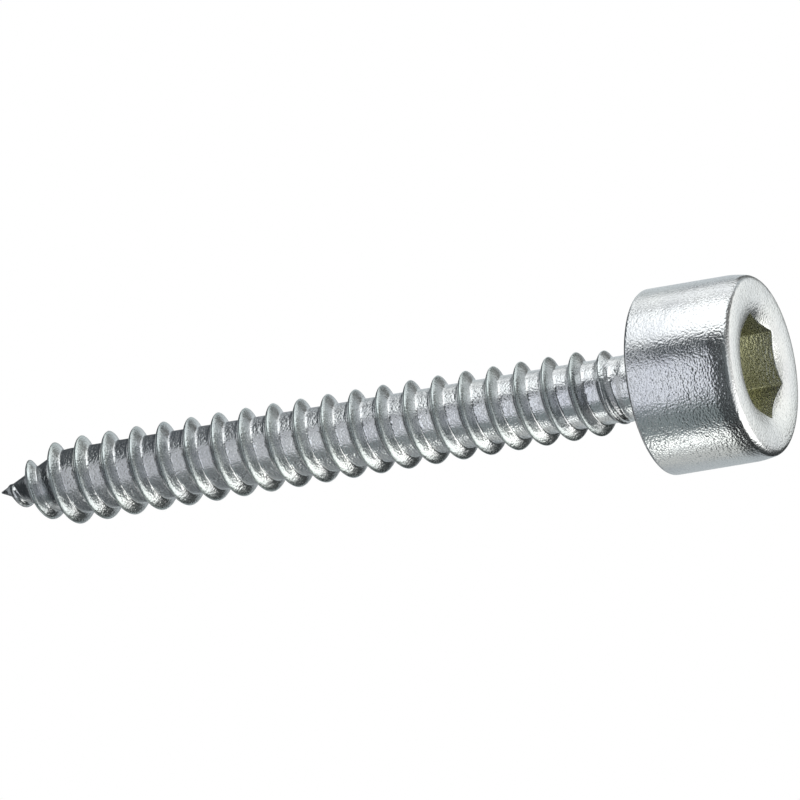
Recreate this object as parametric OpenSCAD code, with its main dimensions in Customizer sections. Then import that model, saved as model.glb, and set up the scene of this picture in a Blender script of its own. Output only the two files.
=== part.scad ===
// Self-tapping screw with a round socket head and a cone point.
//
// The screw is one piece of steel: the head and its hex socket are cold formed, then the
// thread is rolled on the shank and on the point.
//
// Frame, in millimetres: the bearing face, on the underside of the head, lies in z = 0.
// The head is below it and the point is above, so the screw stands on its head.
// A corner of the socket points along +X.

/* [Head] */
// Diameter of the head
head_d = 10; // [8:0.1:13]
// Height of the head, from its top to the bearing face
head_h = 6; // [5:0.1:9]
// Radius of the edge round the top of the head
top_edge_r = 0.5; // [0.2:0.05:1]
// Radius of the edge round the bearing face
bearing_edge_r = 0.15; // [0.1:0.05:0.4]

/* [Socket] */
// Width of the hex socket across its flats
socket_af = 5; // [3:0.1:5.6]
// Depth of the flats, from the top of the head
socket_depth = 3.2; // [1.5:0.1:4]
// Full angle of the drilled floor
socket_floor_angle = 120; // [100:5:150]
// How far the mouth of the countersink clears the corners of the hex
mouth_clearance = 0.16; // [0.05:0.01:0.4]
// Full angle of the countersink
mouth_angle = 110; // [90:5:140]

/* [Shank] */
// Length from the bearing face to the tip
shank_length = 38.4; // [20:0.1:80]
// Diameter of the plain neck under the head
neck_d = 3.6; // [3.55:0.05:4.2]
// Length of the plain neck
neck_length = 1.65; // [1.2:0.05:4]
// Radius of the fillet between the neck and the head
neck_fillet_r = 0.3; // [0.1:0.05:0.6]
// Full angle of the cone point
point_angle = 48; // [40:1:60]

/* [Thread] */
// Diameter over the crests
thread_d = 4.65; // [4.2:0.05:6]
// Diameter at the root
root_d = 3.5; // [2.8:0.05:3.5]
// Distance from crest to crest
pitch = 1.6; // [1.2:0.05:2.4]
// Full angle between the flanks
flank_angle = 60; // [45:1:70]
// Width of the flat on the crest
crest_w = 0.15; // [0.08:0.01:0.25]
// Angle of the crest at the bearing face, seen from the point
thread_turn = 75; // [0:1:359]
// Length over which the crest rises from the neck to its full height
thread_rise = 2.2; // [0.8:0.1:4]
// Height of the thread on the cone point
point_thread_h = 0.6; // [0.4:0.05:0.9]
// Bare length of the tip
bare_tip = 0.4; // [0.2:0.1:1]
// Length over which the crest rises from the bare tip
tip_rise = 1.1; // [0.5:0.1:2]

/* [Hidden] */

// Facets round the thread, for each turn
steps = 36;

head_r = head_d / 2;
socket_r = socket_af / sqrt(3);
mouth_r = socket_r + mouth_clearance;
neck_r = neck_d / 2;
root_r = root_d / 2;
thread_r = thread_d / 2;
thread_h = thread_r - root_r;

// How far the neck's own end runs down inside the threaded shank
neck_end_taper = 0.3;
// The cone of the point starts here
point_z = shank_length - root_r / tan(point_angle / 2);
// The threaded shank starts on a flat ring inside the neck
ring_z = neck_length / 2;

// Heights of the four lines of one ridge, from the middle of its crest: the foot of the
// lower flank, the two edges of the crest, and the foot of the upper flank
crest_half = crest_w / 2;
foot_half = crest_half + thread_h * tan(flank_angle / 2);
RIDGE = [-foot_half, -crest_half, crest_half, foot_half];
LINES = len(RIDGE);

// The lowest ridge starts just above the ring, and the last one ends past the tip
first_crest_z = ring_z + foot_half + pitch / steps;
first_angle = thread_turn + 360 * first_crest_z / pitch;
turns = ceil((shank_length - first_crest_z + foot_half) / pitch) + 1;
columns = steps * turns;

function limit(x, low, high) = max(low, min(high, x));

// Radius of the shank without its thread: a cylinder, then the cone of the point
function core_r(z) = min(root_r, (shank_length - z) * tan(point_angle / 2));

// Height of the crest above the core: none at the neck, full on the shank, and a little
// more on the point, where it sinks into the bare tip
function crest_h(z) =
    let (rise = limit((z - neck_length) / thread_rise, 0, 1),
         fall = limit((shank_length - z - bare_tip) / tip_rise, 0, 1),
         full = min(thread_r - core_r(z), point_thread_h))
    full * rise * fall;

// One point of the threaded surface: column i goes up the helix, line k across the ridge.
// Past the tip all points fall together on it.
function thread_point(i, k) =
    let (angle = first_angle + 360 * i / steps,
         z = first_crest_z + pitch * i / steps + RIDGE[k],
         on_crest = k == 1 || k == 2,
         r = core_r(z) + (on_crest ? crest_h(z) : 0))
    z >= shank_length ? [0, 0, shank_length] : [r * cos(angle), r * sin(angle), z];

function ring_point(i) =
    let (angle = first_angle + 360 * i / steps)
    [root_r * cos(angle), root_r * sin(angle), ring_z];

// Head, neck and fillet: one outline turned about Z
module head_outline() {
    translate([0, -head_h])
        square([head_r - top_edge_r, head_h]);
    translate([0, top_edge_r - head_h])
        square([head_r, head_h - top_edge_r - bearing_edge_r]);
    translate([head_r - top_edge_r, top_edge_r - head_h])
        circle(r = top_edge_r, $fn = 48);
    translate([0, -head_h / 2])
        square([head_r - bearing_edge_r, head_h / 2]);
    translate([head_r - bearing_edge_r, -bearing_edge_r])
        circle(r = bearing_edge_r, $fn = 48);
}

module neck_outline() {
    polygon([
        [0, -head_h / 4],
        [neck_r, -head_h / 4],
        [neck_r, neck_length],
        [neck_r - neck_end_taper, neck_length + neck_end_taper],
        [0, neck_length + neck_end_taper],
    ]);
    difference() {
        square([neck_r + neck_fillet_r, neck_fillet_r]);
        translate([neck_r + neck_fillet_r, neck_fillet_r])
            circle(r = neck_fillet_r, $fn = 48);
    }
}

module head_blank() {
    rotate_extrude($fn = 96) {
        head_outline();
        neck_outline();
    }
}

// Countersink, hex and drilled floor, cut from the top of the head
module socket() {
    past = 0.5;
    mouth_slope = tan(mouth_angle / 2);
    mouth_depth = mouth_r / mouth_slope;
    floor_depth = socket_af / 2 / tan(socket_floor_angle / 2);
    translate([0, 0, -head_h]) {
        translate([0, 0, -past])
            cylinder(h = mouth_depth + past, r1 = mouth_r + past * mouth_slope, r2 = 0, $fn = 96);
        translate([0, 0, -past])
            cylinder(h = socket_depth + past, r = socket_r, $fn = 6);
        translate([0, 0, socket_depth])
            cylinder(h = floor_depth, r1 = socket_af / 2, r2 = 0, $fn = 96);
    }
}

// Threaded shank and point: one closed surface whose facets follow the helix, so that
// every crest and every root is a clean line
module threaded_shank() {
    last = columns - steps;
    helix = [for (i = [0:columns]) for (k = [0:LINES - 1]) thread_point(i, k)];
    ring = [for (i = [0:steps - 1]) ring_point(i)];
    points = concat(helix, ring);

    // Line 4 of a column is line 0 of the same column one turn on
    function at(i, k) = k < LINES ? i * LINES + k : (i + steps) * LINES;
    function on_ring(i) = len(helix) + i % steps;
    // A facet, or nothing where two of its corners have met at the tip
    function facet(a, b, c) =
        points[a] == points[b] || points[b] == points[c] || points[c] == points[a]
            ? [] : [[a, b, c]];

    ridges = [
        for (i = [0:last - 1]) for (k = [0:LINES - 1])
            each concat(
                facet(at(i, k), at(i, k + 1), at(i + 1, k + 1)),
                facet(at(i, k), at(i + 1, k + 1), at(i + 1, k)))
    ];
    // The skirt joins the flat ring to the foot of the first turn, and its last facets meet
    // the open end of the ridge
    skirt = [
        for (i = [0:steps - 1])
            each concat(
                facet(on_ring(i), at(i, 0), at(i + 1, 0)),
                i < steps - 1 ? facet(on_ring(i), at(i + 1, 0), on_ring(i + 1)) : [])
    ];
    end = [for (k = [LINES:-1:0]) at(0, k), on_ring(0)];
    seam = [for (k = [0:LINES]) each facet(on_ring(steps - 1), end[k], end[k + 1])];
    floor = [for (i = [0:steps - 1]) on_ring(i)];
    polyhedron(points, concat(ridges, skirt, seam, [floor]));
}

module screw() {
    color([0.77, 0.79, 0.79])
        union() {
            difference() {
                head_blank();
                socket();
            }
            threaded_shank();
        }
}

screw();
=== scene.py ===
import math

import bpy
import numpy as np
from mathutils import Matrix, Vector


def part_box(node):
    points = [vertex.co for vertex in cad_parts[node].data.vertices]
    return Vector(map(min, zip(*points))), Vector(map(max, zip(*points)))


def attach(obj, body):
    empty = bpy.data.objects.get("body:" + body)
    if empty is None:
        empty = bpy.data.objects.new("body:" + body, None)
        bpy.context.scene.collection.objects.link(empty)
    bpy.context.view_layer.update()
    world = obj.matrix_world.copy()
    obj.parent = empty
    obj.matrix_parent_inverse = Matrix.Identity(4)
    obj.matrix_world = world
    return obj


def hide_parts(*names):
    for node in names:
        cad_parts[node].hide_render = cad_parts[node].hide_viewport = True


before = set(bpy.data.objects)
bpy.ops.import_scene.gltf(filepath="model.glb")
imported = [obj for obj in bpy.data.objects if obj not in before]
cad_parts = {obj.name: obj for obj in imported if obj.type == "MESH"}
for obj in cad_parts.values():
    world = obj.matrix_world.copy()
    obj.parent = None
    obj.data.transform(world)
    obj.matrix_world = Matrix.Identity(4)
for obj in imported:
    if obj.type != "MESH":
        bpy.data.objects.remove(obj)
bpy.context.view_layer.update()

# %% [markdown]
# # A self-tapping screw with a round socket head
#
# The real screw starts as a piece of steel wire. A press cold-forms the head and its hex
# socket, two flat dies roll the thread on the shank and on the cone point, and a zinc bath
# gives it a bright, slightly speckled skin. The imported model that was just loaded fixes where
# everything is. This notebook makes one fine mesh of the same screw, with the soft edges and
# the rounded thread of the real one, gives it the zinc finish, and sets up a small studio.
#
# Sizes are worked out in millimetres, because that is how a screw is drawn, and the mesh is
# turned into metres at the very end. The head stands on the floor with its socket downwards,
# so heights start at 0 on the bearing face under the head, and the face is at -head_h.

MM = 0.001
low, high = (np.array(corner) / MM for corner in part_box("screw"))
head_r = float(min(-low[0], -low[1], high[0], high[1]))
head_h = float(-low[2])
tip_z = float(high[2])
print(f"head {2 * head_r:.2f} x {head_h:.2f} mm, shank {tip_z:.2f} mm to the tip")

# %% [markdown]
# ## Three small helpers for soft shapes
#
# Rolled and pressed steel has no hard corners, so nearly every step of the profile is a soft
# one. A Bevel or a Subdivision Surface modifier could round a rough mesh, but neither can
# fade one shape into another, as the neck does into the thread. Formulas can do both. `ease`
# fades one value into another. `soft_min` is the lower of two curves with the corner between
# them rounded. `soften` does the same to a corner of a drawn outline: it cuts the corner off
# and puts a short curve there.


# %% Helpers for soft shapes
def ease(x, start, end):
    """0 before start, 1 after end, and 3t^2 - 2t^3 between them."""
    t = np.clip((x - start) / (end - start), 0.0, 1.0)
    return t * t * (3.0 - 2.0 * t)


def soft_min(a, b, width):
    """The lower of a and b, less width * h * (1 - h) near the crossing, which rounds it."""
    h = np.clip(0.5 + 0.5 * (b - a) / width, 0.0, 1.0)
    return b * (1.0 - h) + a * h - width * h * (1.0 - h)


def soften(corner, before, after, cut, steps):
    """Points of the curve (1-t)^2 A + 2t(1-t) corner + t^2 B, where A and B lie cut away
    from the corner, and never past half way to the points before and after it."""
    def towards(point):
        away = point - corner
        far = np.linalg.norm(away, axis=-1, keepdims=True)
        return corner + away * np.minimum(cut, 0.49 * far) / np.maximum(far, 1e-9)

    t = np.linspace(0.0, 1.0, steps)[:, None, None]
    return (1 - t) ** 2 * towards(before) + 2 * t * (1 - t) * corner + t ** 2 * towards(after)


# %% [markdown]
# ## The head and its socket
#
# The press forms the head cold, round outside and with a hex socket inside. It could be made
# from a cylinder, with a Boolean modifier for the socket and a Bevel for the edges. But a
# Boolean leaves long thin facets round the hex, and bright metal shows every one.
#
# The head is a turned shape, so one outline carried round the axis gives it. The hex socket
# is not round, but it can use the same trick: its wall is simply nearer to the axis in the
# middle of a flat and further away at a corner. So the outline is drawn once for every
# direction round the axis, as whole arrays, and the only sizes that change from one direction
# to the next are the wall of the hex and the depth at which the socket's mouth meets it.

# %% Directions round the axis
sector = 60                     # one flat of the hex, in degrees
even_steps = 18                 # directions round one flat
corner_steps = [0.7, 1.8]       # extra directions beside each corner of the hex, in degrees

one_sector = np.sort(np.concatenate([
    np.arange(even_steps) * sector / even_steps, corner_steps, sector - np.array(corner_steps)]))
angle = np.radians((one_sector[None, :] + np.arange(360 // sector)[:, None] * sector).ravel())
around = angle.size
print(around, "directions, with a corner of the hex every", one_sector.size)

# %% The wall of the hex
half_sector = math.radians(sector / 2)
socket_flat = 2.5               # half the width across flats
socket_corner = socket_flat / math.cos(half_sector)
corner_r = 0.12                 # radius in the corners of the hex


def hex_wall(angle):
    """Distance of the hex wall from the axis: flat / cos(angle from the middle of the
    flat), or, beside a corner, c cos(b) + sqrt(r^2 - c^2 sin(b)^2) for a corner of radius
    r whose centre is at distance c, where b is the angle from the corner."""
    from_corner = np.abs((np.degrees(angle) + sector / 2) % sector - sector / 2)
    flat = socket_flat / np.cos(np.radians(sector / 2 - from_corner))
    centre = socket_corner - corner_r / math.cos(half_sector)
    beside = centre * np.sin(np.radians(from_corner))
    corner = centre * np.cos(np.radians(from_corner)) + np.sqrt(
        np.clip(corner_r ** 2 - beside ** 2, 0.0, None))
    touch = corner_r * math.sin(half_sector)        # where the arc meets the flat
    return np.where(beside < touch, np.minimum(flat, corner), flat)


wall = hex_wall(angle)
print(f"socket {2 * wall.min():.2f} mm across flats, {2 * wall.max():.2f} mm across corners")

# %% The top edge of the head
top_edge_r = 0.38               # the top edge has a tight part of this radius
edge_side = 11                  # whose arc starts this many degrees from the side's direction
edge_face = 82                  # and ends this many degrees from it, nearly level
shoulder_z = 1.2                # the side leaves the cylinder this far below the face
shoulder_in = 0.115             # and has come in by this much where the tight part starts
shoulder_bend = 1.4             # with the distance to this power
rim_width = 0.30                # between the tight part and the face lies a rim
rim_fall = 0.021                # which falls this far towards the tight part
rim_rows, arc_rows, shoulder_rows = 6, 10, 8


def top_edge():
    """Points (distance in from the side, distance down from the rim's inner edge), from the
    face to the side: a parabola fall * (1 - s)^2 for the rim, an arc for the tight part, and
    in * share ^ bend for the shoulder."""
    s = np.linspace(1.0, 0.0, rim_rows + 1)[:-1]
    bend = np.radians(np.linspace(edge_face, edge_side, arc_rows))
    arc_in = shoulder_in + top_edge_r * (math.cos(math.radians(edge_side)) - np.cos(bend))
    arc_down = rim_fall + top_edge_r * (math.sin(math.radians(edge_face)) - np.sin(bend))
    down = np.linspace(arc_down[-1], shoulder_z, shoulder_rows + 1)[1:]
    share = (shoulder_z - down) / (shoulder_z - arc_down[-1])
    shoulder = shoulder_in * share ** shoulder_bend
    inward = np.concatenate([arc_in[0] + rim_width * s, arc_in, shoulder])
    return inward, np.concatenate([rim_fall * (1 - s) ** 2, arc_down, down])


edge_in, edge_down = top_edge()
print(f"top edge: {edge_in.size} rows, {edge_in[0]:.2f} mm wide and {edge_down[-1]:.2f} mm high")

# %% The mouth of the socket
mouth_r = 4.2                   # the face starts to fall towards the socket here
mouth_fall = 0.078              # and has fallen by this much 1 mm further in
mouth_bend = 2.8                # with the distance to this power
mouth_inner_r = 2.95            # its innermost ring, just outside the corners of the hex
mouth_rows = 14


def mouth_depth(r):
    """Depth of the socket's mouth below the face: fall * (mouth_r - r) ^ bend."""
    return mouth_fall * np.clip(mouth_r - r, 0.0, None) ** mouth_bend


print("the mouth is", mouth_depth(np.array([wall.max(), wall.min()])).round(2), "mm deep at the hex")

# %% The rest of the head
face_drop = 0.004               # the rim's inner edge lies this far below the face
socket_depth = 3.2              # down to the shelf round the drilled floor
shelf_in = 0.1                  # width of that shelf at the middle of a flat
drill_slope = math.tan(math.radians(120 / 2))       # for a drill with a 120 degree point
neck_r = 1.8
ring_z = 0.45                   # the head's mesh ends and the thread's mesh starts here

# how much a soft corner takes off each of its two sides
shelf_edge_cut = 0.1
wall_foot_cut = 0.06
wall_top_cut = 0.05
bearing_edge_cut = 0.2
neck_foot_cut = 0.3


def walk(corners):
    """Rows along a drawn line of (points, cut, steps): the first as it is, and the others
    softened, but for the last, which only says where the line goes on."""
    rows = [corners[0][0][None]]
    for (before, _, _), (corner, cut, steps), (after, _, _) in zip(
            corners, corners[1:], corners[2:]):
        rows.append(soften(corner, before, after, cut, steps))
    return rows


# %% The outline of the head in every direction
def head_outline():
    """Rows of (distance from the axis, height), from the middle of the socket floor, up
    the wall, over the head and down to the neck, for every direction round the axis."""
    top = -head_h
    shelf = top + socket_depth

    def point(r, z):
        return np.stack(np.broadcast_arrays(r, z, wall)[:2], axis=-1)

    mouth = np.linspace(mouth_inner_r, mouth_r, mouth_rows)
    between = (wall + mouth[0]) / 2
    inside = [
        (point(0.0, shelf + socket_flat / drill_slope), 0, 1),
        (point(socket_flat - shelf_in, shelf), shelf_edge_cut, 4),
        (point(wall, shelf), wall_foot_cut, 4),
        (point(wall, top + mouth_depth(wall)), wall_top_cut, 5),
        (point(between, top + mouth_depth(between)), 0, 1),
        (point(mouth[0], top + mouth_depth(mouth[0])), 0, 1),
    ]
    roll = [point(r, top + mouth_depth(r))[None] for r in mouth]
    edge = [point(head_r - i, top + face_drop + d)[None] for i, d in zip(edge_in, edge_down)]
    outside = [
        (edge[-1][0], 0, 1),
        (point(head_r, 0.0), bearing_edge_cut, 7),
        (point(neck_r, 0.0), neck_foot_cut, 8),
        (point(neck_r, ring_z), 0, 1),
    ]
    return np.concatenate(
        walk(inside) + roll + edge + walk(outside)[1:] + [outside[-1][0][None]])


outline = head_outline()
print("outline of the head:", outline.shape[0], "rows of", around)

# %% [markdown]
# ## The thread
#
# Seen along the axis the thread is a ridge wound round a core. Two things change along the
# screw: the core, which is a cylinder and then a cone, and the height of the ridge, which
# grows out of the neck, is full on the shank and dies away at the tip. Across the ridge the
# section is always the same: a narrow rounded crest, two straight flanks, and a smooth root.
#
# A Screw modifier could wind a section round the axis, but not one that follows a cone. And
# a mesh of rings stacked along the axis would cut the crest into steps. So the mesh follows
# the helix instead. Column i goes round the screw and climbs one pitch a turn, line k goes
# across the ridge, and the last line of one turn is the first line of the next.

# %% Sizes of the thread
root_r = 1.75                   # radius of the core between the ridges
thread_r = 2.325                # radius over the crests
pitch = 1.6                     # the ridge climbs by this much in a turn
flank = math.radians(30)        # lean of each flank, from square to the axis
crest_half = 0.075              # half the width of the crest, before it is rounded
thread_turn = math.radians(75)  # direction of the crest at the bearing face
thread_h = thread_r - root_r
foot_half = crest_half + thread_h * math.tan(flank)
print(f"ridge {thread_h:.3f} mm high, {2 * foot_half:.2f} mm wide at its foot")

# %% The core
neck_end = 1.65                 # the neck goes over into the root near this height
neck_fade = (neck_end - 0.1, neck_end + 0.3)
point_half_angle = math.radians(24)
point_soft = 0.25               # width of the soft step from the shank to the cone
tip_ball_r = 0.06


def core_radius(z):
    """Neck, root, then a cone whose half angle is point_half_angle, rounded by a tiny ball:
    r = sqrt(ball^2 - (z - centre)^2) past the circle where the ball touches the cone."""
    shank = root_r + (neck_r - root_r) * (1.0 - ease(z, *neck_fade))
    centre = tip_z - tip_ball_r
    apex = centre + tip_ball_r / math.sin(point_half_angle)
    cone = (apex - z) * math.tan(point_half_angle)
    ball = np.sqrt(np.clip(tip_ball_r ** 2 - (z - centre) ** 2, 0.0, None))
    touch = centre + tip_ball_r * math.sin(point_half_angle)
    return np.where(z < touch, soft_min(shank, cone, point_soft), ball)


print("core radius at 0, 10, 36 and 38 mm:", core_radius(np.array([0, 10, 36, 38])).round(2))

# %% The section of the ridge
root_soft = 0.07                # width of the soft corner at the root
crest_soft = 0.18               # and at the crest


def ridge_section(x):
    """Height of the ridge, from 0 to 1, at x from its middle: straight flanks
    (foot - |x|) / tan(flank), rounded at the crest and at the root."""
    straight = (foot_half - np.abs(x)) / math.tan(flank)
    with_root = -soft_min(-straight, 0.0, root_soft)
    with_crest = soft_min(with_root, thread_h, crest_soft)
    return with_crest / with_crest.max()


print("section at 0, 0.1, 0.2 and 0.4 mm:", ridge_section(np.array([0, 0.1, 0.2, 0.4])).round(2))

# %% The height of the ridge along the screw
ridge_start = neck_end - 0.3    # the ridge starts to grow out of the neck
ridge_full = neck_end + 2.2     # and here it has its full height
rise_power = 0.8                # under 1, so that it grows quickly at first
point_thread_h = 0.6            # the ridge is nowhere higher than this, not on the cone either
bare_tip = 0.4                  # the ridge ends this far before the tip
tip_fade = 1.1                  # after it has lost its height over this length


def crest_height(z):
    """Height of the ridge above the core, from the neck to the tip."""
    rise = ease(z, ridge_start, ridge_full) ** rise_power
    fall = np.clip((tip_z - z - bare_tip) / tip_fade, 0.0, 1.0)
    full = np.minimum(thread_r - core_radius(z), point_thread_h)
    return full * rise * fall


print("ridge height at 2, 3, 10 and 37 mm:", crest_height(np.array([2, 3, 10, 37])).round(2))

# %% The split crests of the first turns
split_depth = 0.75              # this share of the height is missing in the middle
split_half = 0.13               # the split is about this wide to each side
split_closes = (0.1, 0.42)      # and closes while the ridge grows between these heights


def filled(x, z, height):
    """Share of the section that is steel, 1 - open * e^-(x / half)^2: while the ridge is
    still low, near the head, the dies have not met and its middle stays open."""
    still_open = split_depth * (1.0 - ease(height, *split_closes)) * (z < tip_z / 2)
    return 1.0 - still_open * np.exp(-(x / split_half) ** 2)


# %% Where the lines lie across the ridge
bend_weight = 0.16              # a radian of bend counts as this many millimetres of length


def spread_lines(count, samples=4001):
    """count places across one pitch, close together where the section bends: equal shares
    of the sum of arc length and bend."""
    x = np.linspace(-pitch / 2, pitch / 2, samples)
    section = ridge_section(x) * thread_h
    slope = np.gradient(section, x)
    turning = np.abs(np.gradient(np.arctan(slope), x))
    share = np.cumsum(np.sqrt(1 + slope ** 2) + bend_weight * turning)
    share = (share - share[0]) / (share[-1] - share[0])
    return np.interp(np.arange(count) / count, share, x)


lines = spread_lines(24)
print("lines across the ridge, mm:", np.round(lines, 2))

# %% [markdown]
# ## The helical mesh
#
# On the real screw the thread stops without an edge at both ends, because the dies run out
# there. Trimming the helix with a Boolean would leave a cut. Instead, the helix starts below
# the neck's ring and ends past the tip, where it has nothing to make: there its points are
# laid on the ring, or on the tip, and the facets that shrink to nothing are thrown away. What
# is left closes on both ends without a seam.

# %% The threaded surface
turns_below = 2                 # turns of the helix that start below the bearing face
turns_past = 2                  # and turns that end past the tip
tip_gap = 0.0005                # what comes this near to the tip is laid on it


def threaded_surface():
    """Angle, radius and height of each point: the height is pitch * turns + x, and the
    radius is the core's plus the ridge's section times its height."""
    turns = turns_below + int(np.ceil(tip_z / pitch)) + turns_past
    theta = (angle[None, :] + 2 * np.pi * (np.arange(turns)[:, None] - turns_below)).ravel()
    theta = np.append(theta, 2 * np.pi * (turns - turns_below))
    crest_z = pitch * (theta - thread_turn) / (2 * np.pi)
    z = crest_z[:, None] + lines[None, :]
    height = crest_height(z)
    ridge = height * ridge_section(lines)[None, :]
    r = core_radius(z) + ridge * filled(lines[None, :], z, height)
    return theta, r, z, ridge


theta, thread_radius, thread_z, ridge_height = threaded_surface()
below = thread_z <= ring_z
past = thread_z >= tip_z - tip_gap
print("threaded surface:", thread_z.shape, "points, of which", (below | past).sum(),
      "lie on the ring or on the tip")

# %% [markdown]
# ## One closed mesh
#
# The real screw is one piece of steel. Head and thread could be two objects that overlap at
# the neck, but a seam would show there in the reflections, and the mesh would not be a solid.
# So both grids share the ring of points on the neck. The list of points is the middle of the
# socket floor, the rows of the head, the thread and the tip, and the facets are two triangles
# for each cell of the two grids.


# %% Helpers for grids
def ring_points(r, z, theta):
    """Points (r cos(theta), r sin(theta), z)."""
    r, z, theta = np.broadcast_arrays(r, z, theta)
    return np.stack([r * np.cos(theta), r * np.sin(theta), z], axis=-1)


def wheel_index(rings, spokes):
    """Point numbers of a wheel: number 0 in the middle, the rings after it, and the first
    spoke once more at the end, which closes it."""
    index = 1 + np.arange(rings * spokes).reshape(rings, spokes)
    index = np.concatenate([np.zeros((1, spokes), int), index])
    return np.concatenate([index, index[:, :1]], axis=1)


def grid_facets(index):
    """Two triangles for each cell of a grid of point numbers, without those that have the
    same point at two corners."""
    a, b = index[:-1, :-1], index[1:, :-1]
    c, d = index[1:, 1:], index[:-1, 1:]
    facets = np.concatenate([
        np.stack([a, b, c], axis=-1).reshape(-1, 3),
        np.stack([a, c, d], axis=-1).reshape(-1, 3),
    ])
    return facets[(facets != np.roll(facets, 1, axis=1)).all(axis=1)]


# %% Joining the head and the thread
head_points = ring_points(outline[1:, :, 0], outline[1:, :, 1], angle[None, :])
thread_points = ring_points(thread_radius, thread_z, theta[:, None])
points = np.concatenate([
    [[0.0, 0.0, outline[0, 0, 1]]],
    head_points.reshape(-1, 3),
    thread_points.reshape(-1, 3),
    [[0.0, 0.0, tip_z]],
])

rows = head_points.shape[0]
head_index = wheel_index(rows, around)
columns, across = thread_z.shape
thread_start = 1 + rows * around
tip_index = thread_start + columns * across
thread_index = thread_start + np.arange(columns * across).reshape(columns, across)
thread_index = np.where(below, head_index[-1][np.arange(columns) % around][:, None], thread_index)
thread_index = np.where(past, tip_index, thread_index)
# the line after the last one of a column is line 0, one turn on
closed_index = np.concatenate([thread_index[:-around], thread_index[around:, :1]], axis=1)
facets = np.concatenate([grid_facets(head_index), grid_facets(closed_index.T)])
print(len(points), "points,", len(facets), "facets")

# %% Soft marks that the finish will need, one value for each point
mark_from = 0.16                # the socket's mark starts this far below the face
first_half = np.arange(rows)[:, None] < rows // 2      # these rows come before the side
sunk = outline[1:, :, 1] + head_h
# painted shade in part: the socket's mark grows with depth below the face and darkens the zinc
# there, partly a plating tint and partly the shade of the recess
in_socket = first_half & (outline[1:, :, 0] < mouth_r) & (sunk > mark_from)
socket_shade_mark = np.concatenate([
    [1.0], (np.where(in_socket, sunk, 0.0) / socket_depth).ravel(), np.zeros(columns * across + 1)])
crest_mark = np.concatenate([np.zeros(thread_start), (ridge_height / thread_h).ravel(), [0.0]])
print((socket_shade_mark > 0).sum(), "points in the socket, crest mark up to", round(crest_mark.max(), 2))


# %% Building the mesh
def volume(points, facets):
    """Sum over the facets of a . (b x c) / 6, which is positive if they face outwards."""
    a, b, c = (points[facets[:, k]] for k in range(3))
    return float(np.einsum("ij,ij->i", a, np.cross(b, c)).sum() / 6)


def open_edges(facets):
    """Number of edges that don't lie between exactly two facets."""
    edges = np.concatenate([facets[:, [0, 1]], facets[:, [1, 2]], facets[:, [2, 0]]])
    _, uses = np.unique(np.sort(edges, axis=1), axis=0, return_counts=True)
    return int((uses != 2).sum())


def new_object(name, data):
    """An object at the origin, in the scene's own collection."""
    new = bpy.data.objects.new(name, data)
    bpy.context.scene.collection.objects.link(new)
    return new


def build(name, points, facets, marks):
    """A smooth mesh object in metres, with the points that no facet uses left out."""
    used, facets = np.unique(facets, return_inverse=True)
    facets = facets.reshape(-1, 3)
    if volume(points[used], facets) < 0:
        facets = facets[:, ::-1]
    mesh = bpy.data.meshes.new(name)
    mesh.from_pydata((points[used] * MM).tolist(), [], facets.tolist())
    mesh.shade_smooth()
    for mark, values in marks.items():
        layer = mesh.attributes.new(mark, "FLOAT", "POINT")
        layer.data.foreach_set("value", values[used].astype(np.float32))
    return new_object(name, mesh)


# %% The screw
screw = build("zinc_plated_screw", points, facets, {"socket": socket_shade_mark, "crest": crest_mark})
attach(screw, "root")
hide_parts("screw")
print(f"screw: {len(screw.data.polygons)} triangles, {abs(volume(points, facets)):.1f} mm3,",
      open_edges(facets), "open edges")

# %% [markdown]
# ## The zinc finish
#
# Zinc grows on the steel in a bath, as a thin bright skin of fine crystals. It is never quite
# even: its tone changes slowly from place to place, single crystals are lighter or darker,
# and shallow waves bend what it mirrors. The crests, which no die presses, are a little greyer
# and rougher. Deep in the socket the zinc is turned darker and greenish yellow: partly a tint
# of the plating, partly painted shade of the recess.
#
# A painted image could show that, but it needs a flat map of the screw, and the map's seams
# would cross the thread. Noise that reads the place in space has no seams and has the same
# size all over. Bare metal shows the room more than its own colour, so most of the effect is
# height, which goes through a Bump node, and only a little is colour. The grain is a node
# group with an amount for each of its parts, and the two marks on the mesh do the rest.


# %% Building blocks for node trees
def fill(tree, socket, value):
    """Gives a socket its value: a link if the value is another node's socket, or a number
    or colour."""
    if isinstance(value, bpy.types.NodeSocket):
        tree.links.new(value, socket)
    else:
        socket.default_value = value


def math_node(tree, operation, a, b):
    """One Math node: a and b are numbers or sockets."""
    node = tree.nodes.new("ShaderNodeMath")
    node.operation = operation
    fill(tree, node.inputs[0], a)
    fill(tree, node.inputs[1], b)
    return node.outputs[0]


def mix_colours(tree, blend, share, a, b):
    """One Mix node for colours: share, a and b are values or sockets."""
    node = tree.nodes.new("ShaderNodeMix")
    node.data_type = "RGBA"
    node.blend_type = blend
    for name, value in (("Factor", share), ("A", a), ("B", b)):
        fill(tree, node.inputs[name], value)
    return node.outputs["Result"]


def marked(tree, name):
    """The values of one of the mesh's marks."""
    node = tree.nodes.new("ShaderNodeAttribute")
    node.attribute_name = name
    return node.outputs["Fac"]


def noise(tree, vector, scale, detail, roughness):
    """A Noise texture of about `scale` spots a metre, centred on 0.5."""
    node = tree.nodes.new("ShaderNodeTexNoise")
    node.inputs["Scale"].default_value = scale
    node.inputs["Detail"].default_value = detail
    node.inputs["Roughness"].default_value = roughness
    tree.links.new(vector, node.inputs["Vector"])
    return node.outputs["Fac"]


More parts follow.
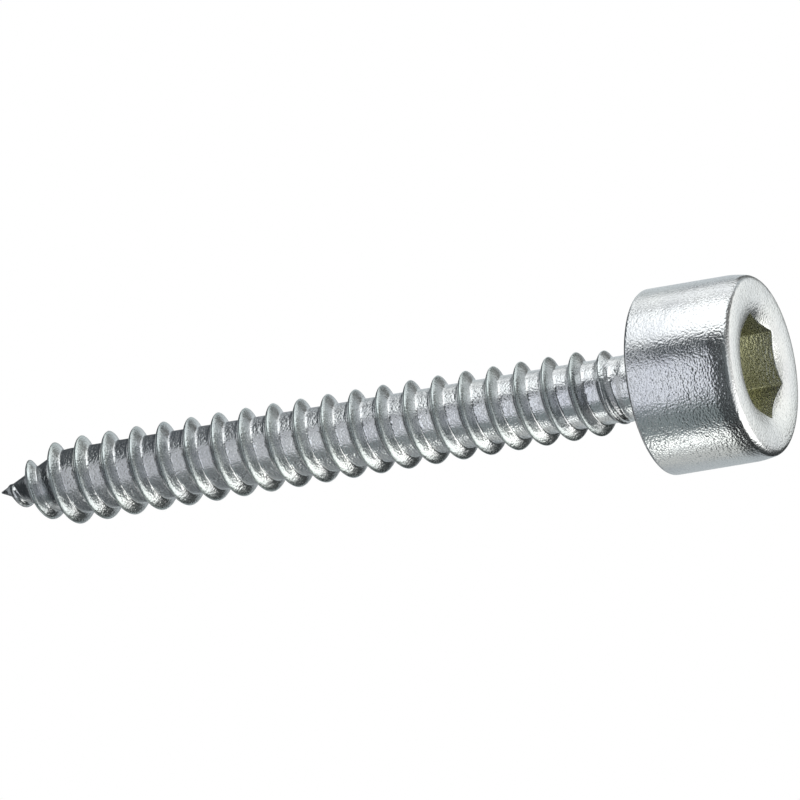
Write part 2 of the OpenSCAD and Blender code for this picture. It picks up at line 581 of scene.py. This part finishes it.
def new_group(name, inputs, outputs):
    """A node group with named sockets. Each entry is (name, kind, default or None)."""
    group = bpy.data.node_groups.new(name, "ShaderNodeTree")
    for way, sockets in (("INPUT", inputs), ("OUTPUT", outputs)):
        for label, kind, default in sockets:
            socket = group.interface.new_socket(
                name=label, in_out=way, socket_type="NodeSocket" + kind)
            if default is not None:
                socket.default_value = default
    return group, group.nodes.new("NodeGroupInput"), group.nodes.new("NodeGroupOutput")


# %% The grain of the plating
speckle_scale = 10500.0         # spots a metre, so each is about 0.1 mm
crystal_scale = 7600.0
wave_scale = 1400.0
mottle_scale = 260.0


def plating_grain():
    """Height = Grain * speckle + Waves * waves - Crystals * 2 * mottle * distance^2, where
    distance is measured from the middle of the nearest crystal, so each is a low dome. Mottle
    is a slow change of tone, and Speckle a fine one."""
    group, into, out = new_group(
        "plating_grain",
        [("Vector", "Vector", None), ("Grain", "Float", 1.0), ("Crystals", "Float", 1.0),
         ("Waves", "Float", 1.0)],
        [("Height", "Float", None), ("Mottle", "Float", None), ("Speckle", "Float", None)])
    vector = into.outputs["Vector"]
    speckle = noise(group, vector, speckle_scale, 1.0, 0.5)
    waves = noise(group, vector, wave_scale, 1.0, 0.5)
    mottle = noise(group, vector, mottle_scale, 3.0, 0.55)
    cells = group.nodes.new("ShaderNodeTexVoronoi")
    cells.inputs["Scale"].default_value = crystal_scale
    group.links.new(vector, cells.inputs["Vector"])
    distance = cells.outputs["Distance"]
    bowl = math_node(group, "MULTIPLY", distance, distance)
    ground = math_node(group, "ADD",
                       math_node(group, "MULTIPLY", speckle, into.outputs["Grain"]),
                       math_node(group, "MULTIPLY", waves, into.outputs["Waves"]))
    # the crystals are coarser in some places than in others
    patchy = math_node(group, "MULTIPLY", into.outputs["Crystals"],
                       math_node(group, "MULTIPLY", mottle, 2.0))
    height = math_node(group, "SUBTRACT", ground, math_node(group, "MULTIPLY", bowl, patchy))
    for name, value in (("Height", height), ("Mottle", mottle), ("Speckle", speckle)):
        group.links.new(value, out.inputs[name])
    return group


grain_group = plating_grain()
print("plating grain:", len(grain_group.nodes), "nodes")

# %% Zinc plate
dull_zinc, bright_zinc = (0.60, 0.61, 0.63, 1), (0.76, 0.77, 0.76, 1)
mottle_range = (0.3, 0.7)       # the mottle's values for dull and for bright zinc
crystal_contrast = 0.45         # how strongly single crystals are lighter or darker
# painted shade in part: the darker greenish zinc deep in the socket stands partly for a plating tint
# and partly for the shade of the recess
olive_socket_shade = (0.65, 0.65, 0.53, 1)   # the zinc deep in the socket
crest_shade = (0.78, 0.84, 0.82, 1)     # the crests' zinc is multiplied by this
grain_amounts = {"Grain": 0.6, "Crystals": 0.8, "Waves": 1.2}
bump_height = 0.014 * MM        # height of a grain of 1
smoothest = 0.12                # roughness of the brightest zinc
speckle_roughness = 0.16        # and what the speckle and the crests add to it
crest_roughness = 0.10


def zinc_plate():
    """Colour = dull to bright by mottle, overlaid with the speckle, turned towards
    olive_socket_shade by min(2 * socket, 1), which is partly a plating tint and partly painted
    shade deep in the socket, times the crest's shade by crest^2. Roughness = smoothest + a share
    of the speckle + a share of crest^2."""
    material = bpy.data.materials.new("bright_zinc_plate")
    material.use_nodes = True
    tree = material.node_tree
    shader = tree.nodes["Principled BSDF"]
    shader.inputs["Metallic"].default_value = 1.0

    place = tree.nodes.new("ShaderNodeTexCoord")
    grain = tree.nodes.new("ShaderNodeGroup")
    grain.node_tree = grain_group
    for name, amount in grain_amounts.items():
        grain.inputs[name].default_value = amount
    tree.links.new(place.outputs["Object"], grain.inputs["Vector"])

    tone = tree.nodes.new("ShaderNodeValToRGB")
    for stop, position, colour in zip(
            tone.color_ramp.elements, mottle_range, (dull_zinc, bright_zinc)):
        stop.position = position
        stop.color = colour
    tree.links.new(grain.outputs["Mottle"], tone.inputs["Fac"])
    speckled = mix_colours(
        tree, "OVERLAY", crystal_contrast, tone.outputs["Color"], grain.outputs["Speckle"])
    # painted shade in part: the socket's mark darkens the zinc towards the bottom of the recess,
    # partly as a plating tint
    depth = math_node(tree, "MINIMUM", math_node(tree, "MULTIPLY", marked(tree, "socket"), 2.0), 1.0)
    with_socket_shade = mix_colours(tree, "MIX", depth, speckled, olive_socket_shade)
    ridge = marked(tree, "crest")
    crest = math_node(tree, "MULTIPLY", ridge, ridge)
    tree.links.new(mix_colours(tree, "MULTIPLY", crest, with_socket_shade, crest_shade),
                   shader.inputs["Base Color"])

    rolled = math_node(tree, "ADD", smoothest,
                       math_node(tree, "MULTIPLY", grain.outputs["Speckle"], speckle_roughness))
    tree.links.new(math_node(tree, "ADD", rolled,
                             math_node(tree, "MULTIPLY", crest, crest_roughness)),
                   shader.inputs["Roughness"])
    bump = tree.nodes.new("ShaderNodeBump")
    bump.inputs["Strength"].default_value = 1.0
    bump.inputs["Distance"].default_value = bump_height
    tree.links.new(grain.outputs["Height"], bump.inputs["Height"])
    tree.links.new(bump.outputs["Normal"], shader.inputs["Normal"])
    return material


screw.data.materials.append(zinc_plate())
print("finish:", screw.data.materials[0].name)

# %% [markdown]
# ## Camera
#
# Small hardware is shown from far away through a long lens, so that its near end looks no
# bigger than its far one. The screw lies across the view here, with its head turned towards
# the camera and its point hanging a little. In the frame it stands upright on its head, and
# it has to stay there, so the camera is turned round the screw. A Track To constraint could
# aim the camera, but it would choose how the camera rolls. So the view's own three directions,
# right, down and away, are worked out from three angles, and they make the turning matrix.

# %% Camera
tilt = math.radians(22.0)       # how far the head is turned towards the camera
slope = math.radians(9.54)      # how far the point hangs down in the view
about = math.radians(6.3)       # turn about the screw's own axis
distance = 1.5                  # from the camera to the bearing face, in metres
view_pixels = 800               # the view is this many pixels wide and high
pixels_per_mm = 18.866          # at the bearing face
bearing_x, bearing_y = 660.3, 382.4     # where the middle of that face lies, in pixels

across_view = Vector((-math.cos(about), -math.sin(about), 0))   # roughly down in the view
to_viewer = Vector((math.sin(about), -math.cos(about), 0))
axis = Vector((0, 0, 1))
right = (math.sin(slope) * across_view - math.sin(tilt) * math.cos(slope) * to_viewer
         - math.cos(tilt) * math.cos(slope) * axis)
down = (math.cos(slope) * across_view + math.sin(tilt) * math.sin(slope) * to_viewer
        + math.cos(tilt) * math.sin(slope) * axis)
away = -math.cos(tilt) * to_viewer + math.sin(tilt) * axis

camera_data = bpy.data.cameras.new("camera")
camera_data.sensor_width = 36.0
camera_data.lens = pixels_per_mm * distance / MM * camera_data.sensor_width / view_pixels
camera_data.clip_start = 0.01
camera_data.clip_end = 20.0
camera = new_object("camera", camera_data)
bpy.context.scene.camera = camera
aim_right = (bearing_x - view_pixels / 2) / pixels_per_mm * MM
aim_down = (bearing_y - view_pixels / 2) / pixels_per_mm * MM
place = -(aim_right * right + aim_down * down + distance * away)
turn = Matrix((right, -down, -away)).transposed()
camera.matrix_world = Matrix.Translation(place) @ turn.to_4x4()
print("camera at", [round(x, 3) for x in place], f"with a {camera_data.lens:.0f} mm lens")

# %% [markdown]
# ## The light tent
#
# Bare metal has no colour of its own worth speaking of: it shows the room. Small shiny parts
# are therefore put in a light tent of white cloth, with dark boards where they need a dark
# edge. Area lamps could stand for the cloth, but each would show as a hard-edged rectangle on
# the metal. So the tent is one ball round the screw whose glow is worked out for each
# direction. Each panel is given by its directions: round the screw's axis (0 is towards the
# camera, negative is up in the view) and along it (90 is the way the point looks, -90 the way
# the head looks).

# %% The panels of the light tent
# name; round from, to, soft; along from, to, soft; strength; tint
tent = [
    ("behind, upper side", -175, -110, 14, -8, 90, 20, 0.66, (0.93, 1.0, 1.03)),
    ("behind, level", 150, 210, 20, -42, -20, 16, 1.20, (0.98, 1.01, 1.0)),
    ("behind, dim above level", 120, 240, 20, -15, 28, 10, 0.25, (0.98, 1.0, 0.96)),
    ("behind, dark above level", 120, 240, 20, -5, 28, 6, 0.12, (0.98, 1.0, 0.96)),
    ("far upper side", -175, -136, 10, 8, 34, 8, 0.74, (0.93, 1.0, 1.03)),
    ("front, past the lens", -50, 50, 10, 26, 60, 6, 0.62, (0.97, 1.0, 1.05)),
    ("front, just past the lens", -50, 50, 10, 22, 27, 4, 0.44, (0.97, 1.0, 1.05)),
    ("front, above the lens", -28, 28, 8, 13, 25, 4, 1.38, (0.96, 0.99, 1.08)),
    ("front, fading down", 28, 68, 14, 13, 28, 5, 0.34, (0.88, 1.04, 1.06)),
    ("dark gap under the key", -51, -26, 5, -60, 24, 4, 0.08, (0.8, 1.0, 1.1)),
    ("front, low", -62, 66, 6, -66, -44, 6, 0.90, (0.96, 1.0, 1.02)),
    ("dim room under the lens", -62, 66, 6, -46, 10, 6, 0.17, (0.9, 1.0, 1.05)),
    ("dark room by the lens", -62, 66, 6, -6, 14, 3, 0.05, (0.9, 1.0, 1.05)),
    ("key cloth", -114, -51, 6, -33, 28, 24, 1.75, (0.98, 1.0, 1.01)),
    ("key cloth, far end", -129, -107, 7, -33, 29, 18, 1.30, (0.98, 1.0, 1.01)),
    ("seam in the key cloth", -105, -98, 3, -45, 40, 8, 0.12, (0.97, 1.0, 1.03)),
    ("dim low side", 60, 172, 8, -34, 10, 6, 0.07, (0.9, 1.0, 1.0)),
    ("dark low side", 60, 172, 8, -8, 13, 5, 0.03, (0.9, 1.0, 1.0)),
    ("low strip", 73, 90, 5, 13, 25, 6, 2.40, (1.0, 1.02, 0.99)),
    ("low strip, far part", 94, 124, 8, 13, 27, 6, 0.74, (1.0, 1.02, 0.99)),
    ("low side", 66, 180, 8, 27, 50, 8, 0.32, (0.93, 1.0, 1.03)),
    ("low side, near part", 32, 72, 10, 27, 52, 6, 0.28, (0.93, 1.0, 1.03)),
    ("far low side", 124, 180, 8, 8, 27, 8, 0.60, (0.93, 1.0, 1.03)),
    ("head end", -180, 180, 1, -90, -66, 8, 0.75, (1.0, 1.0, 0.98)),
    ("head end, upper side", -155, -40, 10, -68, -36, 8, 0.20, (1.0, 1.0, 0.98)),
    ("behind, low", 155, 215, 20, -62, -34, 8, 1.20, (1.0, 1.0, 0.98)),
    ("low lamp at the head end", 60, 152, 10, -80, -34, 8, 2.1, (1.0, 1.0, 0.98)),
    ("low lamp, near part", 54, 104, 10, -60, -20, 8, 1.9, (1.0, 1.0, 0.98)),
    ("front, low, by the lamp", 24, 60, 10, -60, -27, 8, 1.0, (1.0, 1.0, 1.0)),
    ("dark end, upper side", -180, -54, 14, 35, 90, 14, 0.08, (0.9, 1.0, 1.1)),
    ("dark end, low side", 54, 180, 14, 39, 90, 14, 0.08, (0.9, 1.0, 1.1)),
    ("front, over the point", -60, 60, 14, 50, 66, 8, 0.16, (0.98, 1.0, 1.0)),
    ("low side, over the point", 50, 140, 14, 49, 62, 6, 0.7, (0.98, 1.0, 1.0)),
    ("dim end", -180, 180, 1, 68, 90, 8, 0.35, (0.95, 1.0, 1.05)),
    ("dark end", -110, 110, 30, 60, 90, 8, 0.04, (0.9, 1.0, 1.1)),
]
base_strength, base_tint = 0.55, (0.93, 1.0, 1.03)
print(len(tent), "panels, the brightest of strength", max(panel[7] for panel in tent))


# %% The glow of the cloth
beyond = 1000.0                 # degrees, where no direction ever comes


def window(x, start, end, soft):
    """1 from start to end, fading to 0 over `soft` degrees centred on each of them."""
    opened = ease(x, start - soft / 2, start + soft / 2)
    closed = ease(x, end - soft / 2, end + soft / 2)
    return opened * (1 - closed)


def tent_glow(turn, rise):
    """Colour of the cloth in each direction: each panel is laid over the ones before it, as
    glow * (1 - share) + panel * share. A panel that reaches all the way round, or up to an
    end of the axis, has no edge there."""
    glow = np.ones(turn.shape + (3,)) * np.array(base_tint) * base_strength
    for _, a0, a1, a_soft, e0, e1, e_soft, strength, tint in tent:
        if a1 - a0 >= 360:
            across = np.ones_like(turn)
        else:
            middle = (a0 + a1) / 2
            from_middle = (turn - middle + 180) % 360 - 180
            across = window(from_middle, a0 - middle, a1 - middle, a_soft)
        low_side = -beyond if e0 <= -90 else e0
        high_side = beyond if e1 >= 90 else e1
        share = (across * window(rise, low_side, high_side, e_soft))[..., None]
        glow = glow * (1 - share) + share * strength * np.array(tint)
    return glow


# %% The tent
tent_radius = 85.0              # in millimetres
tent_rows, tent_columns = 181, 240


def ball_grid(rows, columns):
    """Angles round and along the axis for each point of a ball, in degrees, and the grid of
    point numbers, closed all the way round."""
    turn = np.linspace(-180, 180, columns, endpoint=False)
    rise = np.linspace(-90, 90, rows)
    turn, rise = np.meshgrid(turn, rise, indexing="ij")
    index = np.arange(rows * columns).reshape(columns, rows)
    return turn, rise, np.concatenate([index, index[:1]])


def tent_cloth():
    """An emission of the colour that each point of the mesh has as its glow."""
    material = bpy.data.materials.new("tent_cloth")
    material.use_nodes = True
    tree = material.node_tree
    tree.nodes.clear()
    colour = tree.nodes.new("ShaderNodeAttribute")
    colour.attribute_name = "glow"
    shine = tree.nodes.new("ShaderNodeEmission")
    tree.links.new(colour.outputs["Color"], shine.inputs["Color"])
    result = tree.nodes.new("ShaderNodeOutputMaterial")
    tree.links.new(shine.outputs[0], result.inputs["Surface"])
    return material


def light_tent():
    """A ball of points radius * (cos(rise) (cos(turn) to_viewer + sin(turn) across_view) +
    sin(rise) axis), with the glow as a colour on each point."""
    turn_deg, rise_deg, index = ball_grid(tent_rows, tent_columns)
    turn, rise = np.radians(turn_deg)[..., None], np.radians(rise_deg)[..., None]
    level = np.cos(turn) * np.array(to_viewer) + np.sin(turn) * np.array(across_view)
    directions = np.cos(rise) * level + np.sin(rise) * np.array(axis)
    quads = np.stack([index[:-1, :-1], index[1:, :-1], index[1:, 1:], index[:-1, 1:]], axis=-1)
    mesh = bpy.data.meshes.new("light_tent")
    mesh.from_pydata((directions * tent_radius * MM).reshape(-1, 3).tolist(), [],
                     quads.reshape(-1, 4).tolist())
    glow = tent_glow(turn_deg, rise_deg)
    layer = mesh.attributes.new("glow", "FLOAT_COLOR", "POINT")
    layer.data.foreach_set("color", np.insert(glow, 3, 1.0, axis=-1).astype(np.float32).ravel())
    mesh.materials.append(tent_cloth())
    print(f"tent: {len(mesh.vertices)} points, glow {glow.min():.2f} to {glow.max():.2f}")
    return new_object("light_tent", mesh)


tent_ball = light_tent()
tent_ball.visible_camera = False
tent_ball.visible_shadow = False

# %% [markdown]
# ## Floor
#
# A pale disc just under the head takes the screw's shadow. A white sheet would be the plain
# way, but the main view looks at the head's face from below, through the floor, and the sheet
# would also throw light into the socket. So the disc is seen by the camera only, and only from
# above: from below it is clear. It fades out into the white background, so it has no edge.

# %% The floor
floor_r = 75.0
floor_full_r = 28.0             # the disc starts to fade here
floor_gap = 0.02                # between the head and the disc, so that they never touch
floor_rings, floor_steps = 12, 96
floor_grey = (0.86, 0.86, 0.86, 1)


def pale_floor():
    """A diffuse surface for the camera from above, clear for everything else, times the
    mesh's own solid value."""
    material = bpy.data.materials.new("pale_floor")
    material.use_nodes = True
    tree = material.node_tree
    tree.nodes.clear()
    paths = tree.nodes.new("ShaderNodeLightPath")
    facing = tree.nodes.new("ShaderNodeNewGeometry")
    above = math_node(tree, "SUBTRACT", 1.0, facing.outputs["Backfacing"])
    seen = math_node(tree, "MULTIPLY", paths.outputs["Is Camera Ray"], above)
    clear = tree.nodes.new("ShaderNodeBsdfTransparent")
    pale = tree.nodes.new("ShaderNodeBsdfDiffuse")
    pale.inputs["Color"].default_value = floor_grey
    mixed = tree.nodes.new("ShaderNodeMixShader")
    tree.links.new(math_node(tree, "MULTIPLY", seen, marked(tree, "solid")), mixed.inputs[0])
    tree.links.new(clear.outputs[0], mixed.inputs[1])
    tree.links.new(pale.outputs[0], mixed.inputs[2])
    result = tree.nodes.new("ShaderNodeOutputMaterial")
    tree.links.new(mixed.outputs[0], result.inputs["Surface"])
    return material


def floor_disc():
    """A wheel of points under the head. Its solid value is 1, eased to 0 from the radius
    floor_full_r to the edge."""
    ring_r = np.linspace(0.0, floor_r, floor_rings + 1)[1:]
    spokes = np.linspace(0, 2 * np.pi, floor_steps, endpoint=False)
    level = -head_h - floor_gap
    points = ring_points(ring_r[:, None], level, spokes[None, :]).reshape(-1, 3)
    points = np.concatenate([[[0, 0, level]], points])
    mesh = bpy.data.meshes.new("floor")
    mesh.from_pydata((points * MM).tolist(), [],
                     grid_facets(wheel_index(floor_rings, floor_steps)).tolist())
    solid = 1 - ease(np.linalg.norm(points[:, :2], axis=1), floor_full_r, floor_r)
    layer = mesh.attributes.new("solid", "FLOAT", "POINT")
    layer.data.foreach_set("value", solid.astype(np.float32))
    mesh.materials.append(pale_floor())
    return new_object("floor", mesh)


floor = floor_disc()
floor.visible_diffuse = False
floor.visible_glossy = False
floor.visible_transmission = False
floor.visible_shadow = False
print("floor faces", "up" if floor.data.polygons[0].normal.z > 0 else "down")

# %% [markdown]
# ## Lamp and background
#
# The tent makes the metal shine but throws no clear shadow. One broad soft lamp above the
# screw lays its shadow on the floor. It could be a sun, but a disc close by gives a shadow
# that is crisp at the foot and soft further out. The metal doesn't mirror the lamp. The
# background is white for whatever looks at it, and half as strong as a light.

# %% The lamp
lamp_data = bpy.data.lights.new("soft_lamp", "AREA")
lamp_data.shape = "DISK"
lamp_data.size = 0.16           # metres
lamp_data.energy = 0.42         # watts
lamp = new_object("soft_lamp", lamp_data)
lamp.location = (-0.09, -0.07, 0.22)
lamp.rotation_euler = lamp.location.to_track_quat("Z", "Y").to_euler()
lamp.visible_glossy = False
lamp.visible_camera = False
print(f"lamp {lamp.location.length * 100:.0f} cm away, {lamp_data.size * 100:.0f} cm across")

# %% The background
light_strength = 0.5            # of the background as a light
world = bpy.data.worlds.new("studio")
bpy.context.scene.world = world
world.use_nodes = True
world.cycles.sampling_method = "NONE"       # the tent lights the screw, not the background
tree = world.node_tree
background = tree.nodes["Background"]
background.inputs["Color"].default_value = (1, 1, 1, 1)
paths = tree.nodes.new("ShaderNodeLightPath")
looked_at = math_node(tree, "MAXIMUM", paths.outputs["Is Camera Ray"],
                      math_node(tree, "MAXIMUM", paths.outputs["Is Glossy Ray"],
                                paths.outputs["Is Transmission Ray"]))
rest = math_node(tree, "MULTIPLY", looked_at, 1 - light_strength)
tree.links.new(math_node(tree, "ADD", light_strength, rest), background.inputs["Strength"])

bpy.context.scene.view_settings.view_transform = "Standard"
print("background white, and", light_strength, "as a light")
